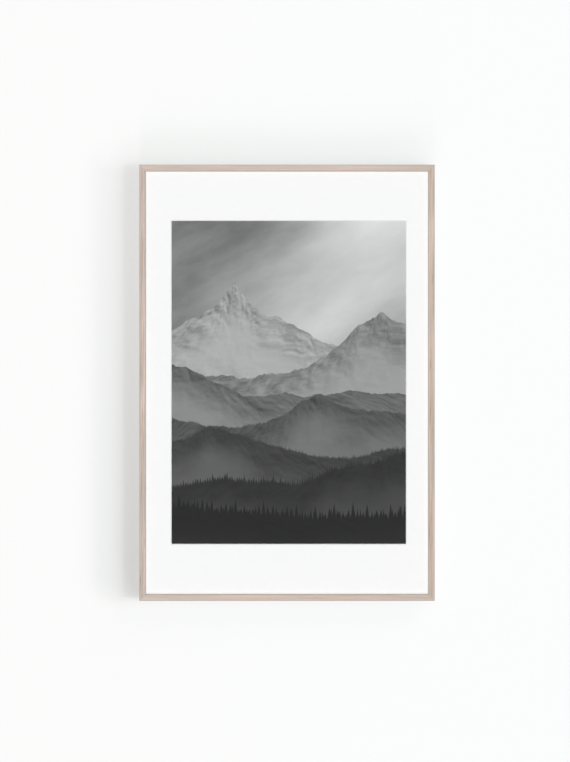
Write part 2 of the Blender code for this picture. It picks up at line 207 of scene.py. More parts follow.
class Finish:
    """A material, or the sky, and the nodes that paint it."""

    def __init__(self, name, kind="Material"):
        stores = {"Material": bpy.data.materials, "World": bpy.data.worlds}
        self.owner = stores[kind].new(name)
        self.owner.use_nodes = True
        self.tree = self.owner.node_tree
        self.tree.nodes.clear()
        self.output = self.tree.nodes.new(f"ShaderNodeOutput{kind}")

    def node(self, kind, settings=None, sockets=None, output=0):
        """Adds a node, sets it up, fills its sockets with values or links and gives one of its outputs."""
        added = self.tree.nodes.new(kind)
        for key, value in (settings or {}).items():
            if key == "stops":
                self.set_stops(added.color_ramp.elements, value)
            else:
                setattr(added, key, value)
        for key, value in (sockets or {}).items():
            if isinstance(value, Value):
                self.tree.links.new(value.socket, added.inputs[key])
            else:
                added.inputs[key].default_value = value
        return Value(self, added.outputs[output])

    @staticmethod
    def set_stops(elements, stops):
        """Gives a ramp its stops, in greys. The first and the last are at 0 and 1, as a new ramp's are."""
        for end, (_, grey) in ((0, stops[0]), (1, stops[-1])):
            elements[end].color = (grey, grey, grey, 1)
        for stop, grey in stops[1:-1]:
            elements.new(stop).color = (grey, grey, grey, 1)

    def mapped(self, place, origin, turn, size):
        sockets = {"Vector": place, "Location": origin, "Rotation": turn, "Scale": size}
        return self.node("ShaderNodeMapping", {"vector_type": "TEXTURE"}, sockets)

    def place(self, origin=(0, 0, 0), turn=(0, 0, 0), size=(1, 1, 1)):
        """Places on the piece, as seen from an origin on it that may be turned."""
        return self.mapped(self.node("ShaderNodeTexCoord", output="Object"), origin, turn, size)

    def stretched(self, place, size, turn=(0, 0, 0), shift=(0, 0, 0)):
        """A place counted in grains, whose three sizes are in millimetres along axes that may be turned."""
        return self.mapped(place, shift, turn, [part * MM for part in size])

    def split(self, place):
        """The three numbers of a vector."""
        parts = self.node("ShaderNodeSeparateXYZ", sockets={0: place})
        outputs = parts.socket.node.outputs
        return [Value(self, outputs[i]) for i in range(3)]

    def joined(self, x, y, z):
        return self.node("ShaderNodeCombineXYZ", sockets={0: x, 1: y, 2: z})

    def noise(self, place, scale=1.0, detail=2.0, roughness=0.5, distortion=0.0):
        """Noise from 0 to 1, with its mean near a half."""
        sockets = {
            "Vector": place,
            "Scale": scale,
            "Detail": detail,
            "Roughness": roughness,
            "Distortion": distortion,
        }
        return self.node("ShaderNodeTexNoise", {"noise_type": "FBM", "normalize": True}, sockets)

    def cells(self, place, scale=1.0):
        """The distance to the nearest of many scattered points."""
        return self.node("ShaderNodeTexVoronoi", {"feature": "F1"}, {"Vector": place, "Scale": scale})

    def mixed(self, factor, first, second, blend="MIX"):
        """Two colours, the second over the first."""
        settings = {"data_type": "RGBA", "blend_type": blend}
        sides = [side if isinstance(side, Value) else (*side, 1) for side in (first, second)]
        return self.node("ShaderNodeMix", settings, {0: factor, 6: sides[0], 7: sides[1]}, 2)

    def shaded(self, colour, red, green, blue):
        """A colour made darker or lighter by numbers near 1."""
        return self.mixed(1.0, colour, self.joined(red, green, blue), "MULTIPLY")

    def bump(self, height, strength, distance):
        sockets = {"Height": height, "Strength": strength, "Distance": distance}
        return self.node("ShaderNodeBump", sockets=sockets)

    def surface(self, sockets):
        """The plain opaque or metal surface."""
        self.show(self.node("ShaderNodeBsdfPrincipled", sockets=sockets))

    def show(self, shader):
        self.tree.links.new(shader.socket, self.output.inputs["Surface"])


def oak_finish(side, tone, contrast, seed):
    """Pale limed oak. Its rings, pores and streaks run along the rail and through it from face to side."""
    oak = Finish(f"oak_{side}")
    own = oak.place(side_matrix(side).translation, (0, QUARTER_TURN * TURNS[side], 0))
    inset, depth, _ = oak.split(own)

    # Growth rings round a heart that lies well outside the rail
    slow = oak.noise(oak.stretched(own, (110, 110, 420), shift=(seed, 0, seed)), detail=1.0)
    quick = oak.noise(oak.stretched(own, (17, 17, 70), shift=(0, seed, 0)))
    from_heart_x = inset + 34 * MM
    from_heart_y = depth + (seed * 3 + 8) * MM
    radius = (from_heart_x * from_heart_x + from_heart_y * from_heart_y) ** 0.5
    ring = (radius + (slow - 0.5) * (16 * MM) + (quick - 0.5) * (2.6 * MM)) / (3.1 * MM)
    year = ring.whole()
    phase = ring.fraction()
    early = phase.rise(0.62, 0.0) * phase.rise(0.0, 0.06)
    year_tone = oak.noise(oak.joined(year, seed, 0.5), scale=1.7, detail=0.0)

    # Open pores, mostly in the early wood, as fine short dashes, and threads, lines and bands of lighter wood
    fibre = oak.noise(oak.stretched(own, (0.28, 0.28, 9.5)), detail=1.0)
    pores = fibre.rise(0.56, 0.72) * (early * 0.85 + 0.15)
    threads = oak.noise(oak.stretched(own, (0.8, 0.8, 60)), detail=3.0, roughness=0.6)
    lines = oak.noise(oak.stretched(own, (1.7, 1.7, 105), (0, 0.022, 0), (0, 0, seed)))
    bands = oak.noise(oak.stretched(own, (4.6, 4.6, 260), (0, -0.012, 0), (seed, 0, 0)), roughness=0.6)

    # A few thin brown streaks that cross the rail at a slant, and slow changes along it
    slanted = oak.stretched(own, (2.2, 2.2, 95), (0, 0.035, 0), (seed * 2, 0, seed))
    brown = oak.noise(slanted, distortion=0.3).rise(0.62, 0.73)
    patches = oak.noise(oak.stretched(own, (33, 33, 160), shift=(0, 0, seed * 3)), detail=3.0, roughness=0.6)

    colour = oak.mixed(patches.rise(0.35, 0.65), (0.562, 0.462, 0.394), (0.595, 0.474, 0.410))
    colour = oak.mixed(early * (year_tone * 0.9 + 0.15), colour, (0.440, 0.345, 0.284))
    colour = oak.mixed(brown * (0.75 * contrast), colour, (0.330, 0.232, 0.172))
    colour = oak.mixed(pores * 0.55, colour, (0.300, 0.222, 0.175))
    varied = (threads - 0.5) * 0.18 + (lines - 0.5) * 0.62 + (bands - 0.5) * 0.50 + (patches - 0.5) * 0.34
    warm = (oak.noise(oak.stretched(own, (2.6, 2.6, 75), shift=(seed, seed, 0))) - 0.5) * 0.20
    red, green, blue = tone
    light = varied * contrast + 1.04
    colour = oak.shaded(colour, light * red + warm, light * green, light * blue - warm)

    # Painted shade: both long edges of the face are darkened to grey, where the rounded edges turn away from
    # the light
    painted_edge_shade = inset.rise(2.4 * MM, 0.9 * MM) + inset.rise(FACE_WIDTH - 2.4 * MM, FACE_WIDTH - 0.9 * MM)
    edge_depth = depth.rise(FRONT_Y + 4 * MM, FRONT_Y + 2 * MM)
    colour = oak.mixed(painted_edge_shade * edge_depth * 0.85, colour, (0.405, 0.360, 0.325))

    oak.surface(
        {
            "Base Color": colour,
            "Roughness": 0.58 + (threads - 0.5) * 0.16 + pores * 0.15,
            "Specular IOR Level": 0.32,
            "Normal": oak.bump(threads * 0.3 - pores * 0.8, 0.35, 0.08 * MM),
        }
    )
    return oak.owner


def glazing_finish():
    """Clear acrylic with a coat that takes away the reflections from all but a slant."""
    acrylic = Finish("clear_acrylic")
    facing = acrylic.node("ShaderNodeLayerWeight", sockets={"Blend": 0.5}, output="Facing")
    clear = acrylic.node("ShaderNodeBsdfTransparent", sockets={"Color": (0.995, 0.998, 0.997, 1)})
    gloss = acrylic.node("ShaderNodeBsdfAnisotropic", sockets={"Color": (1, 1, 1, 1), "Roughness": 0.06})
    acrylic.show(acrylic.node("ShaderNodeMixShader", sockets={0: facing**7 * 0.8, 1: clear, 2: gloss}))
    return acrylic.owner


def mount_board_finish():
    """White mount board with a soft tooth, and a bright core on the window's cut edge."""
    card = Finish("white_mount_board")
    place = card.place()
    tooth = card.noise(place, scale=1500, detail=3.0, roughness=0.65)
    pulp = card.noise(place, scale=90, detail=3.0)
    fibres = card.noise(card.stretched(place, (0.4, 2.5, 2), turn=(0, 0.6, 0)), detail=1.0)
    face_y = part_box("window_mount")[0].y
    _, depth, _ = card.split(place)
    core = depth.rise(face_y + 0.02 * MM, face_y + 0.12 * MM)
    face = card.mixed(pulp.rise(0.3, 0.7), (0.868, 0.862, 0.865), (0.880, 0.871, 0.875))
    face = card.mixed(fibres.rise(0.66, 0.76) * 0.35, face, (0.80, 0.80, 0.78))
    card.surface(
        {
            "Base Color": card.mixed(core, face, (0.90, 0.90, 0.885)),
            "Roughness": 0.88 + (tooth - 0.5) * 0.12,
            "Specular IOR Level": 0.2,
            "Normal": card.bump(tooth + fibres * 0.4, 0.3, 0.05 * MM),
        }
    )
    return card.owner


# The printed landscape, from the farthest ridge to the nearest: where its crest runs on the sheet, how much
# it rises and falls and how often, its peak's height, place and half width, how rugged it is, its tone at the
# crest and down in the mist, how strongly its slopes catch the light, and how tall the trees on it are
RIDGES = (
    (0.600, 0.050, 2.1, 0.200, 0.300, 0.42, 0.60, 0.230, 0.400, 1.35, 0.0),
    (0.520, 0.060, 2.7, 0.185, 0.900, 0.46, 0.60, 0.150, 0.330, 1.25, 0.0),
    (0.455, 0.055, 2.3, 0.110, 0.020, 0.40, 0.58, 0.095, 0.250, 1.10, 0.0),
    (0.375, 0.050, 2.9, 0.075, 0.640, 0.36, 0.55, 0.062, 0.180, 0.90, 0.008),
    (0.285, 0.045, 2.2, 0.070, 0.180, 0.40, 0.52, 0.036, 0.110, 0.70, 0.016),
    (0.190, 0.045, 2.6, 0.075, 1.000, 0.50, 0.50, 0.020, 0.060, 0.50, 0.030),
    (0.075, 0.040, 1.8, 0.050, 0.080, 0.45, 0.50, 0.011, 0.020, 0.30, 0.058),
)
# Three stands of firs on one crest: the step between the trees, their size and where the row starts
FIR_ROWS = ((0.34, 1.0, 0.0), (0.21, 0.72, 5.3), (0.13, 0.45, 9.1))
MIST_DEPTH = 0.15
BLACKEST_INK = 0.016
MARGIN = 5 * MM
SHEET_LOW, SHEET_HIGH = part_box("print_sheet")
PICTURE_FOOT = (SHEET_LOW.x + MARGIN, 0, SHEET_LOW.z + MARGIN)
PICTURE_SIZE = (SHEET_HIGH.x - SHEET_LOW.x - 2 * MARGIN, 1, SHEET_HIGH.z - SHEET_LOW.z - 2 * MARGIN)


def glow(across, up, place_across, place_up, reach):
    """A soft round patch, 1 in its middle and 0 at its reach."""
    from_across = (across - place_across) * 0.75
    from_up = up - place_up
    return ((from_across * from_across + from_up * from_up) ** 0.5).rise(reach, 0.0)


def firs(paper, across, above, seed, height):
    """Pointed firs that stand along a crest, each with ragged boughs. above is the height over the crest."""
    cover = None
    for spacing, size, start in FIR_ROWS:
        place = across / (height * spacing) + (seed + start)
        chance = paper.node("ShaderNodeTexWhiteNoise", {"noise_dimensions": "1D"}, {"W": place.whole()})
        tall = (chance * 0.75 + 0.25) * (height * size)
        part = above / tall
        boughs = 0.45 + (part * -7.0).fraction() * 0.4
        width = (1 - part) * boughs
        side = abs(place.fraction() - 0.5)
        fir = (width - side * 1.25).rise(-0.05, 0.05)
        cover = fir if cover is None else cover.most(fir)
    return cover


def crags(paper, aside, below, seed, shift):
    """Sharp spurs that run down and apart from a peak, as heights from 0 to 1."""
    fan = aside / (below * 1.3 + 0.16)
    place = paper.joined(fan * 1.7 + (seed + shift), below * 6.0 - shift, seed)
    fold = paper.noise(place, detail=6.0, roughness=0.62)
    return 1 - abs(fold * 2 - 1)


def printed_landscape(paper):
    """Misty mountains and wooded hills in greys, one behind the other, under a pale sky."""
    across, _, up = paper.split(paper.place(PICTURE_FOOT, size=PICTURE_SIZE))

    # A pale sky with thin high haze drawn out by the wind, and a brighter haze behind the hills
    drawn_out = paper.joined(across * 1.5 + up * 1.1, up * 5.5 - across * 1.9, 4.0)
    veils = paper.noise(drawn_out, detail=6.0, roughness=0.58)
    banks = paper.noise(paper.joined(across * 1.2, up * 2.4, 8.0), detail=3.0)
    tone = 0.20 + glow(across, up, 0.90, 1.0, 0.50) * 0.42 + glow(across, up, 0.56, 0.62, 0.36) * 0.26
    tone = tone + (veils - 0.5) * 0.42 + (banks - 0.5) * 0.22

    for number, ridge in enumerate(RIDGES):
        base, swell, crests, rise, rise_at, rise_width, rugged, crest_tone, mist_tone, relief, tree = ridge
        seed = 3.7 * number + 1.3
        line = paper.noise(paper.joined(across * crests, seed, 0.0), detail=9.0, roughness=rugged)
        shoulders = paper.noise(paper.joined(across * 4.2, seed, 7.0), detail=3.0, roughness=0.55)
        aside = across - rise_at + (shoulders - 0.5) * (rise_width * 0.55)
        peak = (1 - abs(aside) / rise_width).most(0.0) ** 1.2
        crest = base + (line - 0.5) * (swell * 2.8) + peak * rise
        depth = crest - up
        below = base + rise + swell - up
        here = crags(paper, aside, below, seed, 0.0)
        there = crags(paper, aside, below, seed, 0.05)
        slope = 1 + (there - here) * (relief * 3.4) + (here - 0.5) * (relief * 0.5)
        drift = paper.noise(paper.joined(across * 2.4 + up * 1.5, up * 6 - across, seed), detail=4.0)
        mist = (depth + (drift - 0.5) * 0.16).rise(0.01, MIST_DEPTH) * (drift * 0.7 + 0.45).least(1.0)
        rock = crest_tone * slope.most(0.12)
        hill = rock + mist * (mist_tone - rock)
        cover = depth.rise(-0.0008, 0.0010)
        if tree:
            cover = cover.most(firs(paper, across, up - crest, seed, tree))
        tone = tone + cover * (hill - tone)

    grain = paper.noise(paper.joined(across * 900, up * 1240, 0.0), detail=1.0)
    tone = tone * (0.92 + grain * 0.16) + BLACKEST_INK
    edge = abs(across - 0.5).rise(0.5005, 0.4995) * abs(up - 0.5).rise(0.5004, 0.4996)
    return tone, edge


def print_paper_finish():
    """Smooth matt paper that carries the landscape inside a white margin."""
    paper = Finish("printed_paper")
    tone, edge = printed_landscape(paper)
    pulp = paper.noise(paper.place(), scale=1800)
    paper.surface(
        {
            "Base Color": paper.mixed(edge, (0.86, 0.86, 0.85), paper.joined(tone, tone, tone)),
            "Roughness": 0.72 + (pulp - 0.5) * 0.1,
            "Specular IOR Level": 0.0,
            "Normal": paper.bump(pulp, 0.12, 0.03 * MM),
        }
    )
    return paper.owner


def foam_core_finish():
    """White paper on both faces and a cellular foam between them."""
    foam = Finish("foam_board")
    place = foam.place()
    low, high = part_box("foam_core")
    _, depth, _ = foam.split(place)
    skin = depth.rise(low.y + 0.5 * MM, low.y + 0.4 * MM) + depth.rise(high.y - 0.5 * MM, high.y - 0.4 * MM)
    bubbles = foam.cells(place, scale=1700)
    pulp = foam.noise(place, scale=140, detail=3.0)
    cell = foam.mixed(bubbles.rise(0.15, 0.55), (0.78, 0.79, 0.79), (0.90, 0.90, 0.89))
    sheet = foam.mixed(pulp, (0.84, 0.84, 0.82), (0.89, 0.89, 0.875))
    foam.surface(
        {
            "Base Color": foam.mixed(skin, cell, sheet),
            "Roughness": 0.7 + (pulp - 0.5) * 0.1,
            "Specular IOR Level": 0.3,
            "Normal": foam.bump(bubbles * (1 - skin), 0.5, 0.1 * MM),
        }
    )
    return foam.owner


def fibreboard_finish():
    """Brown pressed fibres lying every way, with darker cut edges."""
    board = Finish("brown_fibreboard")
    place = board.place()
    cloudy = board.noise(place, scale=16, detail=4.0, roughness=0.6)
    grit = board.noise(place, scale=1100, detail=3.0, roughness=0.7)
    pale, dark = None, None
    for number in range(4):
        turn = (0, math.radians(37 + 45 * number), 0)
        hairs = board.noise(board.stretched(place, (0.65, 3.0, 6.5), turn, (number * 3.1, 0, 0)), detail=1.0)
        light_hairs = hairs.rise(0.64, 0.76)
        dark_hairs = hairs.rise(0.34, 0.24)
        pale = light_hairs if pale is None else pale.most(light_hairs)
        dark = dark_hairs if dark is None else dark.most(dark_hairs)
    chips = board.cells(board.stretched(place, (4.8, 4.8, 3.0))).rise(0.20, 0.08)
    colour = board.mixed(cloudy.rise(0.3, 0.7), (0.335, 0.225, 0.140), (0.395, 0.275, 0.178))
    colour = board.mixed(pale * 0.42, colour, (0.540, 0.405, 0.280))
    colour = board.mixed(dark * 0.5, colour, (0.190, 0.118, 0.068))
    colour = board.mixed(chips * 0.30, colour, (0.150, 0.090, 0.050))
    speckle = grit * 0.22 + 0.89
    colour = board.shaded(colour, speckle, speckle, speckle)

    # The cut edges, and the 2 mm beside them
    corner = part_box("backing_board")[1]
    across, _, up = board.split(place)
    rims = [
        abs(middle).rise(reach - 2.2 * MM, reach - 0.3 * MM)
        for middle, reach in ((across, corner.x), (up - CENTRE.z, corner.z - CENTRE.z))
    ]
    colour = board.mixed(rims[0].most(rims[1]) * 0.35, colour, (0.170, 0.105, 0.062))
    board.surface(
        {
            "Base Color": colour,
            "Roughness": 0.66 + (grit - 0.5) * 0.2,
            "Specular IOR Level": 0.35,
            "Normal": board.bump(grit + pale * 0.5 - dark * 0.4, 0.35, 0.08 * MM),
        }
    )
    return board.owner


def plated_finish(name, light, warm, roughness):
    """Plated steel: a fine tumbled grain, a faint change of tint and a few handling marks."""
    metal = Finish(name)
    place = metal.place()
    tint = metal.noise(place, scale=260, detail=3.0)
    grain = metal.noise(place, scale=5200, roughness=0.6)
    rubbed = metal.stretched(place, (0.15, 0.15, 2.4), turn=(0.3, 0.9, 0.2))
    marks = metal.noise(rubbed, detail=1.0).rise(0.70, 0.78)
    colour = metal.mixed(tint.rise(0.35, 0.7), light, warm)
    metal.surface(
        {
            "Base Color": metal.mixed(marks * 0.35, colour, (0.42, 0.42, 0.41)),
            "Metallic": 1.0,
            "Roughness": roughness + (tint - 0.5) * 0.16 + marks * 0.15,
            "Normal": metal.bump(grain - marks * 0.5, 0.22, 0.03 * MM),
        }
    )
    return metal.owner


def rubber_finish():
    """Soft dark rubber with a dusty bloom."""
    rubber = Finish("soft_rubber")
    place = rubber.place()
    grain = rubber.noise(place, scale=2600)
    dust = rubber.noise(place, scale=420, detail=3.0).rise(0.5, 0.8) * 0.5
    rubber.surface(
        {
            "Base Color": rubber.mixed(dust, (0.036, 0.035, 0.034), (0.115, 0.110, 0.104)),
            "Roughness": 0.72 + (grain - 0.5) * 0.2,
            "Specular IOR Level": 0.4,
            "Normal": rubber.bump(grain, 0.3, 0.06 * MM),
        }
    )
    return rubber.owner


# Pieces


def verts_in(items):
    return [item for item in items if isinstance(item, bmesh.types.BMVert)]


def edges_in(items):
    return [item for item in items if isinstance(item, bmesh.types.BMEdge)]


def edges_round(verts):
    """The edges that meet at some vertices, each once."""
    return list(dict.fromkeys(edge for vert in verts for edge in vert.link_edges))


def turn_outwards(shape):
    """Turns every face of a closed shape outwards."""
    bmesh.ops.recalc_face_normals(shape, faces=shape.faces)
    if shape.calc_volume(signed=True) < 0:
        bmesh.ops.reverse_faces(shape, faces=shape.faces)


def placed(name, shape):
    """Makes an object of a shape where it lies, and lets the shape go."""
    mesh = bpy.data.meshes.new(name)
    shape.to_mesh(mesh)
    shape.free()
    piece = bpy.data.objects.new(name, mesh)
    bpy.context.scene.collection.objects.link(piece)
    return piece


def finished(name, shape, matrix, material, body, node=None):
    """Puts a finished shape in its place as a piece of its own, riding on a body."""
    shape.transform(matrix)
    turn_outwards(shape)
    piece = placed(name, shape)
    piece.data.shade_smooth()
    piece.data.set_sharp_from_angle(angle=SHARP_ANGLE)
    piece.data.materials.append(material)
    flat_faces = piece.modifiers.new("flat_faces", "WEIGHTED_NORMAL")
    flat_faces.keep_sharp = True
    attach(piece, body)
    if node:
        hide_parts(node)
    return piece


def cut(shape, cutter):
    """Takes one closed shape out of another."""
    for part in (shape, cutter):
        turn_outwards(part)
    whole, tool = placed("whole", shape), placed("tool", cutter)
    boolean = whole.modifiers.new("cut", "BOOLEAN")
    boolean.operation = "DIFFERENCE"
    boolean.solver = "EXACT"
    boolean.object = tool
    depsgraph = bpy.context.evaluated_depsgraph_get()
    left = bmesh.new()
    left.from_mesh(whole.evaluated_get(depsgraph).data)
    for part in (whole, tool):
        mesh = part.data
        bpy.data.objects.remove(part)
        bpy.data.meshes.remove(mesh)
    return left


def draw_line(shape, points):
    """Draws a line through points and gives its vertices and edges."""
    verts = [shape.verts.new(point) for point in points]
    return verts, [shape.edges.new(pair) for pair in zip(verts, verts[1:])]


def add_pin(shape, radius, foot, top, matrix=Matrix(), segments=24):
    """Adds a plain round pin along its own z."""
    bmesh.ops.create_cone(
        shape,
        cap_ends=True,
        segments=segments,
        radius1=radius,
        radius2=radius,
        depth=top - foot,
        matrix=matrix @ Matrix.Translation((0, 0, (foot + top) / 2)),
    )


def turn_on_lathe(shape, steps):
    """Turns an outline in the x, z plane into a closed round body about z."""
    outline = [*shape.verts, *shape.edges]
    middle = {"cent": (0, 0, 0), "axis": (0, 0, 1)}
    bmesh.ops.spin(shape, geom=outline, angle=math.tau, steps=steps, use_merge=True, **middle)
    bmesh.ops.remove_doubles(shape, verts=shape.verts, dist=SAME_POINT)


def rounded(shape, corners, radius, segments, affect="EDGES"):
    bmesh.ops.bevel(
        shape,
        geom=corners,
        offset=radius,
        offset_type="OFFSET",
        affect=affect,
        segments=segments,
        profile=0.5,
        material=-1,
    )


def edges_at(shape, x, y):
    """A rail's long edges at one corner of its section."""
    near = 0.01 * MM
    return [
        edge
        for edge in shape.edges
        if all(abs(vert.co.x - x) < near and abs(vert.co.y - y) < near for vert in edge.verts)
    ]


def rims_of(shape):
    """The edges where two faces meet at a steep angle."""
    return [edge for edge in shape.edges if len(edge.link_faces) == 2 and edge.calc_face_angle() > RIM_ANGLE]


def towards_wall(place):
    """Carries a turned part's own z to the wall's direction, at a place on a side."""
    return Matrix.Translation(place) @ Matrix.Rotation(-QUARTER_TURN, 4, "X")


def hanger_place(hand):
    """The middle of a ring's bar."""
    side = -1 if hand == "left" else 1
    return Vector((side * RING_AXIS.x, RING_AXIS.y, RING_AXIS.z))


def strap_screw_place(hand):
    place = hanger_place(hand)
    return Vector((place.x, BACK_Y + 2 * FIT_GAP + STRAP_THICKNESS, place.z - STRAP_SCREW_DROP))


def button_place(side, along, y=BACK_Y + FIT_GAP):
    return side_matrix(side) @ Vector((LEG_WIDTH / 2, y, along * MM))


def make_rail(side, material):
    """An L-shaped moulding with its front edges well rounded, mitred, with its screws' pilot holes."""
    half = half_length(side)
    lip_y = FRONT_Y + LIP_THICKNESS
    section = (
        (0, FRONT_Y),
        (FACE_WIDTH, FRONT_Y),
        (FACE_WIDTH, lip_y),
        (LEG_WIDTH, lip_y),
        (LEG_WIDTH, BACK_Y),
        (0, BACK_Y),
    )
    shape = bmesh.new()
    end = shape.faces.new([shape.verts.new((x, y, -half)) for x, y in section])
    drawn = bmesh.ops.extrude_face_region(shape, geom=[end])["geom"]
    bmesh.ops.translate(shape, verts=verts_in(drawn), vec=(0, 0, 2 * half))
    bmesh.ops.recalc_face_normals(shape, faces=shape.faces)
    front_edges = edges_at(shape, 0, FRONT_Y) + edges_at(shape, FACE_WIDTH, FRONT_Y)
    rounded(shape, front_edges, FACE_EDGE_RADIUS, 8)
    rounded(shape, edges_at(shape, 0, BACK_Y), BACK_EDGE_RADIUS, 4)
    for x, y in ((LEG_WIDTH, BACK_Y), (FACE_WIDTH, lip_y)):
        rounded(shape, edges_at(shape, x, y), INNER_EDGE_RADIUS, 2)
    for sign in (-1, 1):
        mitred = bmesh.ops.bisect_plane(
            shape,
            geom=[*shape.verts, *shape.edges, *shape.faces],
            dist=0.0001 * MM,
            plane_co=(-MITRE_GAP / math.sqrt(2), 0, sign * half),
            plane_no=Vector((1, 0, sign)).normalized(),
            clear_outer=True,
        )
        bmesh.ops.contextual_create(shape, geom=edges_in(mitred["geom_cut"]))
    pilots = bmesh.new()
    for along in BUTTONS[side]:
        place = towards_wall((LEG_WIDTH / 2, BACK_Y, along * MM))
        add_pin(pilots, PILOT_RADIUS, -PILOT_DEPTH, PILOT_OVERRUN, place)
    if side in ("left", "right"):
        place = towards_wall(side_matrix(side).inverted() @ strap_screw_place(side))
        add_pin(pilots, PILOT_RADIUS, -STRAP_PILOT_DEPTH, PILOT_OVERRUN, place)
    shape = cut(shape, pilots)
    return finished(f"oak_rail_{side}", shape, side_matrix(side), material, "frame", f"rail_{side}")


def make_corner_nails(material):
    """A bent steel nail across the back of each mitre, driven nearly flush."""
    shape = bmesh.new()
    for side in TURNS:
        nail = bmesh.new()
        bend = Vector((NAIL_INSET, BACK_Y + NAIL_PROUD, half_length(side) - NAIL_INSET))
        _, edges = draw_line(nail, (bend + Vector((NAIL_LEG, 0, 0)), bend, bend - Vector((0, 0, NAIL_LEG))))
        drawn = bmesh.ops.extrude_edge_only(nail, edges=edges)["geom"]
        bmesh.ops.translate(nail, verts=verts_in(drawn), vec=(0, -NAIL_DEPTH, 0))
        bmesh.ops.solidify(nail, geom=nail.faces[:], thickness=NAIL_THICKNESS)
        nail.transform(side_matrix(side))
        mesh = bpy.data.meshes.new("nail")
        nail.to_mesh(mesh)
        nail.free()
        shape.from_mesh(mesh)
        bpy.data.meshes.remove(mesh)
    finished("corner_nails", shape, Matrix(), material, "frame")


def make_turn_button(side, number, along, material):
    """A stamped plate with two round ends, a hole for its screw and edges broken by tumbling."""
    shape = bmesh.new()
    add_pin(shape, BUTTON_PIVOT_RADIUS, 0, BUTTON_THICKNESS, segments=64)
    tip = Matrix.Translation((BUTTON_REACH, 0, 0))
    add_pin(shape, BUTTON_TIP_RADIUS, 0, BUTTON_THICKNESS, tip, segments=64)
    hull = bmesh.ops.convex_hull(shape, input=shape.verts[:])
    spare = [item for key in ("geom_interior", "geom_unused", "geom_holes") for item in hull[key]]
    bmesh.ops.delete(shape, geom=list(dict.fromkeys(verts_in(spare))), context="VERTS")
    bmesh.ops.dissolve_limit(shape, angle_limit=0.01, verts=shape.verts, edges=shape.edges)
    hole = bmesh.new()
    add_pin(hole, BUTTON_HOLE_RADIUS, -BUTTON_THICKNESS, 2 * BUTTON_THICKNESS, segments=40)
    shape = cut(shape, hole)
    rounded(shape, rims_of(shape), BUTTON_EDGE_RADIUS, 3)
    inwards = Matrix.Rotation(QUARTER_TURN * TURNS[side], 4, "Y") @ towards_wall((0, 0, 0))
    matrix = Matrix.Translation(button_place(side, along)) @ inwards
    name = f"turn_button_{side}_{number}"
    finished(f"plated_{name}", shape, matrix, material, f"button_{side}_{number}", name)


def make_screw(name, node, place, material, turn):
    """A round-headed wood screw: a domed head with a cross recess, a plain shank and a point."""
    shape = bmesh.new()
    dome_height = HEAD_HEIGHT - HEAD_RIM
    dome_radius = (HEAD_RADIUS**2 + dome_height**2) / (2 * dome_height)
    dome = bmesh.ops.spin(
        shape,
        geom=[shape.verts.new((0, 0, HEAD_HEIGHT))],
        cent=(0, 0, HEAD_HEIGHT - dome_radius),
        axis=(0, 1, 0),
        angle=math.asin(HEAD_RADIUS / dome_radius),
        steps=8,
        use_duplicate=False,
    )
    lower = (
        (HEAD_RADIUS, HEAD_CORNER),
        (HEAD_RADIUS - HEAD_CORNER, 0),
        (SHANK_RADIUS, 0),
        (SHANK_RADIUS, POINT_LENGTH - SHANK_LENGTH),
        (0, -SHANK_LENGTH),
    )
    verts, _ = draw_line(shape, [(x, 0, z) for x, z in lower])
    shape.edges.new((verts_in(dome["geom_last"])[0], verts[0]))
    turn_on_lathe(shape, 40)
    for quarter in (0, 1):
        blade = bmesh.new()
        turned = Matrix.Rotation(QUARTER_TURN * quarter + turn, 4, "Z")
        matrix = turned @ Matrix.Translation((0, 0, CROSS_MIDDLE)) @ Matrix.Diagonal((*CROSS_SIZE, 1))
        bmesh.ops.create_cube(blade, size=1, matrix=matrix)
        low = [vert for vert in blade.verts if vert.co.z < HEAD_HEIGHT]
        bmesh.ops.scale(blade, vec=(CROSS_TAPER, CROSS_TAPER, 1), verts=low)
        shape = cut(shape, blade)
    finished(name, shape, towards_wall(place), material, "frame", node)


def sweep(shape, section, moves):
    """Draws a closed section along runs and turns, and joins the end to the start."""
    front = section
    for move in moves:
        if len(move) == 1:
            drawn = bmesh.ops.extrude_edge_only(shape, edges=front)["geom"]
            verts = verts_in(drawn)
            bmesh.ops.translate(shape, verts=verts, vec=move[0])
            front = [edge for edge in edges_round(verts) if all(vert in verts for vert in edge.verts)]
        else:
            centre, angle, steps = move
            turn = {"cent": centre, "axis": (0, 1, 0), "angle": -angle, "steps": steps}
            front = edges_in(bmesh.ops.spin(shape, geom=front, use_duplicate=False, **turn)["geom_last"])
    bmesh.ops.remove_doubles(shape, verts=shape.verts, dist=0.005 * MM)


def make_ring(hand, material):
    """A wire bent into a ring with a straight bar, which turns in the strap's eye."""
    shape = bmesh.new()
    flat = RING_HALF_WIDTH - RING_CORNER_RADIUS
    start = Matrix.Translation((-flat, 0, 0)) @ Matrix.Rotation(QUARTER_TURN, 4, "Y")
    section = bmesh.ops.create_circle(shape, cap_ends=False, segments=20, radius=WIRE_RADIUS, matrix=start)
    sweep(
        shape,
        edges_round(section["verts"]),
        [
            ((2 * flat, 0, 0),),
            ((flat, 0, RING_CORNER_RADIUS), QUARTER_TURN, 10),
            ((0, 0, RING_LEG - RING_CORNER_RADIUS),),
            ((0, 0, RING_LEG), 2 * QUARTER_TURN, 36),
            ((0, 0, RING_CORNER_RADIUS - RING_LEG),),
            ((-flat, 0, RING_CORNER_RADIUS), QUARTER_TURN, 10),
        ],
    )
    matrix = Matrix.Translation(hanger_place(hand)) @ Matrix.Rotation(RING_LEAN, 4, "X")
    name = f"hanger_ring_{hand}"
    finished(f"wire_ring_{hand}", shape, matrix, material, f"ring_{hand}", name)


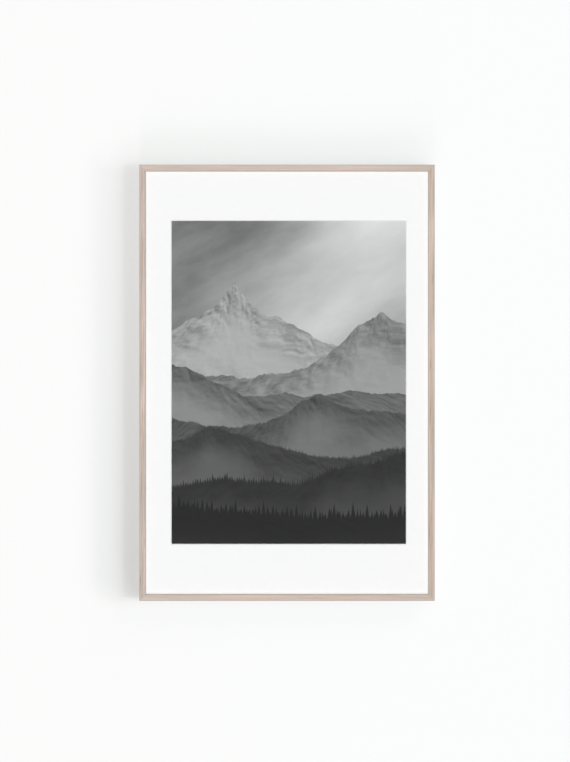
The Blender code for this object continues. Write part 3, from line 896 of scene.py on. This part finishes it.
def make_strap(hand, material):
    """A strip of sheet folded round the ring's bar, with a round foot that its screw holds."""
    shape = bmesh.new()
    half = STRAP_WIDTH / 2
    _, edges = draw_line(shape, [(x, -EYE_RADIUS, 0) for x in (-half, half)])
    foot_verts = verts_in(bmesh.ops.extrude_edge_only(shape, edges=edges)["geom"])
    bmesh.ops.translate(shape, verts=foot_verts, vec=(0, 0, -STRAP_LENGTH))
    plate_y = STRAP_THICKNESS - EYE_RADIUS
    fold = bmesh.ops.spin(
        shape,
        geom=edges,
        cent=(0, 0, 0),
        axis=(1, 0, 0),
        angle=-(math.pi + math.acos(plate_y / EYE_RADIUS)),
        steps=44,
        use_duplicate=False,
    )
    tail = bmesh.ops.extrude_edge_only(shape, edges=edges_in(fold["geom_last"]))
    tail_verts = verts_in(tail["geom"])
    drop = -STRAP_LENGTH - tail_verts[0].co.z
    bmesh.ops.translate(shape, verts=tail_verts, vec=(0, 0, drop))
    rounded(shape, foot_verts + tail_verts, half - 0.05 * MM, 10, "VERTICES")
    bmesh.ops.recalc_face_normals(shape, faces=shape.faces)
    bmesh.ops.solidify(shape, geom=shape.faces[:], thickness=STRAP_LAYER)
    rounded(shape, rims_of(shape), STRAP_EDGE_RADIUS, 2)
    matrix = Matrix.Translation(hanger_place(hand))
    finished(f"folded_strap_{hand}", shape, matrix, material, "frame", f"hanger_strap_{hand}")


def make_pad(node, material):
    """A soft round bumper, slightly waisted where it is stuck on."""
    low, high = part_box(node)
    radius = (high.x - low.x) / 2
    height = high.y - low.y
    shape = bmesh.new()
    outline = ((0, 0), (radius - PAD_WAIST, 0), (radius, PAD_WAIST_HEIGHT), (radius, height), (0, height))
    verts, _ = draw_line(shape, [(x, 0, z) for x, z in outline])
    rounded(shape, [verts[3]], PAD_RIM_RADIUS, 8, "VERTICES")
    turn_on_lathe(shape, 48)
    middle = (low + high) / 2
    matrix = towards_wall(Vector((middle.x, low.y, middle.z)))
    finished(f"rubber_{node}", shape, matrix, material, "frame", node)


def paint(node, material):
    """Gives a CAD node, whose shape is right, its finish."""
    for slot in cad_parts[node].material_slots:
        slot.material = material


# The room: a wall, a floor, lights and the camera. The frame hangs at a living room's height over the floor
FLOOR_Z = -1.9
FLOOR_SIZE = 16
WALL_WIDTH = 3.0
WALL_HEIGHT = 3.2
WALL_GAP = 0.2 * MM
SKY_LIGHT = 0.16

# The wall's painted whites in red, green and blue, each at its left and at its right: painted light, a little
# brighter and bluer at the right, where the daylight comes from
WALL_WHITES = ((0.969, 0.972), (0.971, 0.981), (0.966, 0.983))

# Lights that only the wall takes: how far each comes from the right and from above for one step away
# from the wall, its spread in degrees and how much light it gives the wall in red, green and blue
WALL_LIGHTS = (
    ("window", 1.52, -0.25, 6, (0.270, 0.265, 0.300)),
    ("window_wide", 1.71, -0.90, 38, (0.370, 0.390, 0.380)),
    ("window_far", 2.85, 0.36, 18, (0.150, 0.247, 0.231)),
    ("window_farther", 3.90, 0.09, 5, (0.142, 0.132, 0.130)),
    ("window_low", 4.64, -0.87, 5, (0.148, 0.121, 0.129)),
    ("window_lower", 4.34, -2.00, 5, (0.094, 0.077, 0.088)),
    ("below_right", 2.00, -3.20, 10, (0.139, 0.148, 0.153)),
    ("below", -0.07, -2.94, 14, (0.149, 0.151, 0.135)),
    ("far_below", -0.21, -5.80, 14, (0.163, 0.080, 0.123)),
    ("above", 3.36, 3.36, 22, (0.145, 0.110, 0.119)),
)

# Lights that all but the wall takes, and low lights that only the rails take: the way to each, its spread
# in degrees and its strength
OBJECT_LIGHTS = (
    ("front", (0, -1, -0.03), 3, 2.9),
    ("right_side", (1, 0.35, 0.15), 12, 1.3),
    ("left_side", (-1, 0.35, 0.15), 12, 1.1),
    ("over", (0.1, 0.45, 1), 12, 1.3),
    ("behind", (-0.75, 1, 0.85), 9, 1.4),
    ("behind_low", (0.9, 1, 0.1), 20, 0.4),
)
RAIL_LIGHTS = (
    ("rails_left", (-1, -0.06, 0), 4, 1.3),
    ("rails_right", (1, -0.06, 0), 4, 1.3),
    ("rails_below", (0, -0.06, -1), 4, 1.0),
    ("rails_above", (0, -0.06, 1), 4, 1.3),
)


def set_stage(name, finish, matrix, unseen_by):
    """A flat part of the room, from a square 2 m wide, which some kinds of ray pass by."""
    shape = bmesh.new()
    bmesh.ops.create_grid(shape, x_segments=1, y_segments=1, size=1, matrix=matrix)
    piece = placed(name, shape)
    piece.data.materials.append(finish.owner)
    for ray in unseen_by:
        setattr(piece, f"visible_{ray}", False)
    return piece


def make_wall():
    """A plain white wall, seen only from the front. More than half of its brightness is a painted glow, a
    little brighter at the right, so its shade is as pale as by day.
    """
    wall = Finish("white_wall")
    across, _, up = wall.split(wall.place())
    right = across.rise(-0.6, 0.6)
    share = 0.16 + up.rise(0.15, -0.85) * 0.07
    lamps = [sum(given[part] for *_, given in WALL_LIGHTS) + SKY_LIGHT for part in range(3)]
    # Painted glow: the wall's own emission, brighter to the right, making up all the brightness that its
    # lamps don't give
    painted_glow_colour = [low + right * (high - low) - share * lamp for (low, high), lamp in zip(WALL_WHITES, lamps)]
    glow = wall.node("ShaderNodeEmission", sockets={"Color": wall.joined(*painted_glow_colour)})
    lit = wall.node("ShaderNodeBsdfDiffuse", sockets={"Color": wall.joined(share, share, share)})
    front = wall.node("ShaderNodeAddShader", sockets={0: glow, 1: lit})
    away = wall.node("ShaderNodeNewGeometry", output="Backfacing")
    clear = wall.node("ShaderNodeBsdfTransparent")
    wall.show(wall.node("ShaderNodeMixShader", sockets={0: away, 1: front, 2: clear}))
    size = Matrix.Diagonal((WALL_WIDTH / 2, WALL_HEIGHT / 2, 1, 1))
    upright = Matrix.Rotation(QUARTER_TURN, 4, "X")
    matrix = Matrix.Translation((0, WALL_GAP, FLOOR_Z + WALL_HEIGHT / 2)) @ upright @ size
    return set_stage("wall", wall, matrix, ("shadow", "diffuse", "glossy", "transmission"))


def make_floor():
    """A plain pale floor at a living room's distance below the picture."""
    floor = Finish("pale_floor")
    specks = floor.noise(floor.place(), scale=60, detail=4.0)
    colour = floor.mixed(specks, (0.53, 0.528, 0.52), (0.56, 0.557, 0.55))
    floor.surface({"Base Color": colour, "Roughness": 0.75, "Specular IOR Level": 0.2})
    matrix = Matrix.Translation((0, 0, FLOOR_Z)) @ Matrix.Scale(FLOOR_SIZE / 2, 4)
    set_stage("floor", floor, matrix, ("shadow", "diffuse", "glossy"))


def takers(name, pieces, state="INCLUDE"):
    """Lists the pieces that a lamp lights, or with EXCLUDE the ones that it passes by."""
    group = bpy.data.collections.new(name)
    for piece in pieces:
        group.objects.link(piece)
    for linked in group.collection_objects:
        linked.light_linking.link_state = state
    return group


def add_sun(name, towards, spread, strength, taken_by, colour=(1, 1, 1)):
    """A far lamp that no gloss mirrors. towards is the way to it."""
    lamp = bpy.data.lights.new(name, "SUN")
    lamp.energy = strength
    lamp.angle = math.radians(spread)
    lamp.color = colour
    sun = bpy.data.objects.new(name, lamp)
    bpy.context.scene.collection.objects.link(sun)
    sun.rotation_mode = "QUATERNION"
    sun.rotation_quaternion = (-Vector(towards)).to_track_quat("-Z", "Y")
    sun.light_linking.receiver_collection = taken_by
    sun.visible_glossy = False


def light_room(wall, rails):
    """Daylight that rakes over the wall, an even light on the object, and light for its sides and back."""
    only_wall = takers("only_wall", [wall])
    for name, right, above, spread, given in WALL_LIGHTS:
        towards = Vector((right, -1, above)).normalized()
        add_sun(name, towards, spread, math.pi / -towards.y, only_wall, given)
    all_but_wall = takers("all_but_wall", [wall], "EXCLUDE")
    only_rails = takers("only_rails", rails)
    for lights, taken_by in ((OBJECT_LIGHTS, all_but_wall), (RAIL_LIGHTS, only_rails)):
        for name, towards, spread, strength in lights:
            add_sun(name, towards, spread, strength, taken_by)


def make_sky():
    """An even pale room all round: dim as a light, white to the eye, and paler with height in reflections."""
    sky = Finish("pale_room", "World")
    bpy.context.scene.world = sky.owner
    sky.owner.cycles.sampling_method = "NONE"
    _, _, height = sky.split(sky.node("ShaderNodeTexCoord", output="Object"))
    stops = ((0.0, 0.18), (0.42, 0.34), (0.52, 0.60), (0.72, 0.95), (0.86, 0.45), (1.0, 1.0))
    mirrored = sky.node("ShaderNodeValToRGB", {"stops": stops}, {0: height * 0.5 + 0.5})
    light, *seen = [
        sky.node("ShaderNodeBackground", sockets={"Color": colour})
        for colour in ((SKY_LIGHT, SKY_LIGHT, SKY_LIGHT, 1), mirrored, (0.93, 0.93, 0.93, 1))
    ]
    for ray, shade in zip(("Is Glossy Ray", "Is Camera Ray"), seen):
        is_ray = sky.node("ShaderNodeLightPath", output=ray)
        light = sky.node("ShaderNodeMixShader", sockets={0: is_ray, 1: light, 2: shade})
    sky.show(light)


def make_camera():
    """Straight at the frame, a little to the left of its middle and above it, as in the photograph."""
    lens = bpy.data.cameras.new("camera")
    lens.sensor_width = SENSOR
    lens.lens = SENSOR * CAMERA_DISTANCE / (IMAGE_HEIGHT * METRES_PER_PIXEL)
    camera = bpy.data.objects.new("camera", lens)
    bpy.context.scene.collection.objects.link(camera)
    camera.location = (-CAMERA_LEFT, FRONT_Y - CAMERA_DISTANCE, CENTRE.z + CAMERA_ABOVE)
    camera.rotation_euler = (QUARTER_TURN, 0, 0)
    bpy.context.scene.camera = camera


# Each rail's tint in red, green and blue, the top and bottom ones lighter than the sides, how strong its
# grain is, and which piece of the board it comes from
OAK_RAILS = {
    "left": ((0.86, 0.885, 0.91), 1.5, 1.0),
    "top": ((0.95, 0.97, 0.99), 0.5, 2.3),
    "right": ((0.885, 0.89, 0.895), 1.2, 4.1),
    "bottom": ((0.94, 0.96, 0.98), 0.45, 5.6),
}
# How each strap's screw came to rest, and how much further each turn button's than the one before it
STRAP_SCREW_TURNS = {"left": 0.4, "right": 1.1}
PIVOT_SCREW_TURN = math.radians(37)

button_steel = plated_finish("zinc_plate", (0.70, 0.715, 0.72), (0.74, 0.71, 0.64), 0.34)
hanger_steel = plated_finish("nickel_plate", (0.74, 0.725, 0.70), (0.78, 0.755, 0.70), 0.22)
oak_rails = [make_rail(rail_side, oak_finish(rail_side, *wood)) for rail_side, wood in OAK_RAILS.items()]
make_corner_nails(button_steel)
paint("glazing", glazing_finish())
paint("window_mount", mount_board_finish())
paint("print_sheet", print_paper_finish())
paint("foam_core", foam_core_finish())
paint("backing_board", fibreboard_finish())

for button_side, alongs in BUTTONS.items():
    for button_number, button_along in enumerate(alongs, 1):
        make_turn_button(button_side, button_number, button_along, button_steel)
        place = button_place(button_side, button_along, BACK_Y + 2 * FIT_GAP + BUTTON_THICKNESS)
        name = f"pivot_screw_{button_side}_{button_number}"
        screw_turn = PIVOT_SCREW_TURN * (button_number + 3 * TURNS[button_side])
        make_screw(f"zinc_{name}", name, place, button_steel, screw_turn)
for hanger_hand, screw_turn in STRAP_SCREW_TURNS.items():
    make_strap(hanger_hand, hanger_steel)
    make_ring(hanger_hand, hanger_steel)
    place = strap_screw_place(hanger_hand)
    name = f"strap_screw_{hanger_hand}"
    make_screw(f"nickel_{name}", name, place, hanger_steel, screw_turn)
pad_rubber = rubber_finish()
for pad_end in ("top", "bottom"):
    for pad_hand in ("left", "right"):
        make_pad(f"wall_pad_{pad_end}_{pad_hand}", pad_rubber)

make_camera()
make_sky()
light_room(make_wall(), oak_rails)
make_floor()
bpy.context.scene.view_settings.view_transform = "Standard"
